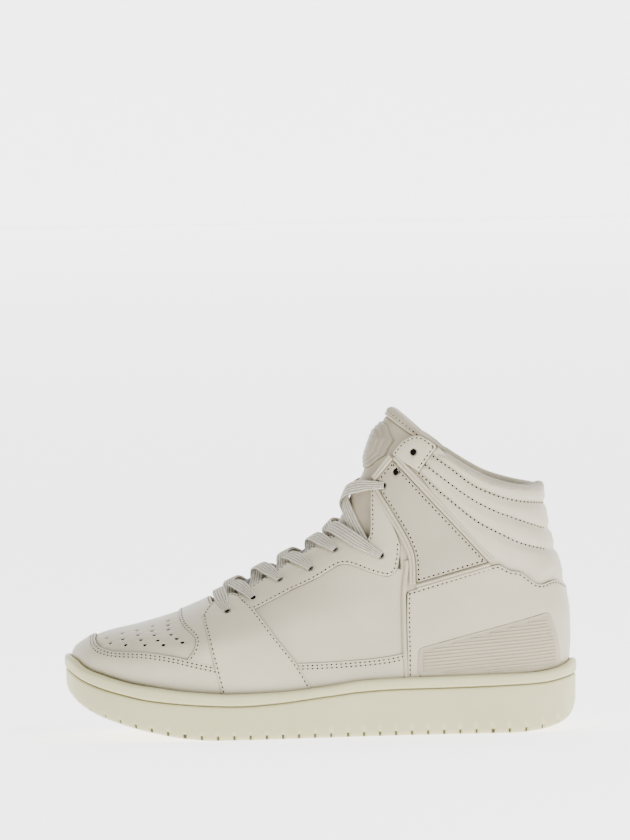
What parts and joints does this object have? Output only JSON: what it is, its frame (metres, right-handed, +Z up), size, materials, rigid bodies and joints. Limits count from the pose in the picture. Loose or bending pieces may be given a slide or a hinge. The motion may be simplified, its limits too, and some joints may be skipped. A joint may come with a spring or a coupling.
{
  "type": "high-top basketball shoe",
  "caption": "Cream leather high-top basketball shoe for the left foot, with cup sole, perforated toe, padded ankle collar, laced throat, folding tongue top and lift-out footbed",
  "frame": {"origin": "on the floor under the middle of the outsole's length and width", "axes": "+X towards the heel, so the toe points to -X; -Y towards the outer side of the foot; +Z up"},
  "size_m": [0.2974, 0.1052, 0.189],
  "materials": {
    "sole_rubber": "smooth creamy rubber with light texture",
    "midsole_foam": "matte moulded foam",
    "board_textile": "stitched fibre board",
    "footbed_textile": "fine jersey over foam",
    "leather_cream": "smooth off-white leather, soft sheen",
    "leather_beige": "smooth beige leather, soft sheen",
    "piping": "folded leather piping",
    "lining_textile": "knitted lining",
    "stiffener": "matte sheet stiffener",
    "collar_padding": "textile-faced foam",
    "tongue_textile": "knitted mesh over foam",
    "tongue_leather": "soft leather over foam",
    "trim_rubber": "matte moulded rubber",
    "lace_textile": "flat woven lace"
  },
  "bodies": {
    "shoe": {"outsole": "sole_rubber", "midsole_insert": "midsole_foam", "strobel_board": "board_textile", "mudguard": "leather_cream", "saddle": "leather_cream", "toe_box": "leather_cream", "vamp_lining": "lining_textile", "toe_puff": "stiffener", "counter": "stiffener", "heel_lining": "lining_textile", "collar_foam": "collar_padding", "collar_lining": "lining_textile", "tongue_base": "tongue_textile", "lace_keeper": "tongue_leather", "lace": "lace_textile", "forefoot_lat": "leather_cream", "eyestay_lat": "leather_cream", "strip_lat": "leather_cream", "seam_piping_lat": "piping", "ankle_panel_lat": "leather_beige", "ankle_piping_lat": "piping", "eyelet_tab_lat": "leather_cream", "heel_quarter_lat": "leather_cream", "collar_panel_lat": "leather_cream", "mid_quarter_lat": "leather_cream", "quarter_lining_lat": "lining_textile", "ribbed_inset_lat": "trim_rubber", "forefoot_med": "leather_cream", "eyestay_med": "leather_cream", "strip_med": "leather_cream", "seam_piping_med": "piping", "ankle_panel_med": "leather_beige", "ankle_piping_med": "piping", "eyelet_tab_med": "leather_cream", "heel_quarter_med": "leather_cream", "collar_panel_med": "leather_cream", "mid_quarter_med": "leather_cream", "quarter_lining_med": "lining_textile", "ribbed_inset_med": "trim_rubber"},
    "tongue_top": {"tongue_flap": "tongue_leather", "tongue_badge": "trim_rubber"},
    "footbed": {"footbed": "footbed_textile"}
  },
  "joints": [
    {"name": "tongue_fold", "type": "hinge", "parent": "shoe", "child": "tongue_top", "pos_m": [0.02664, 0, 0.14914], "axis": [0, -1, 0], "range_deg": [-12, 25], "stiffness_Nm_per_rad": 0.3},
    {"name": "footbed_lift", "type": "hinge", "parent": "shoe", "child": "footbed", "pos_m": [-0.125, 0, 0.037], "axis": [0, -1, 0], "range_deg": [0, 6]}
  ]
}
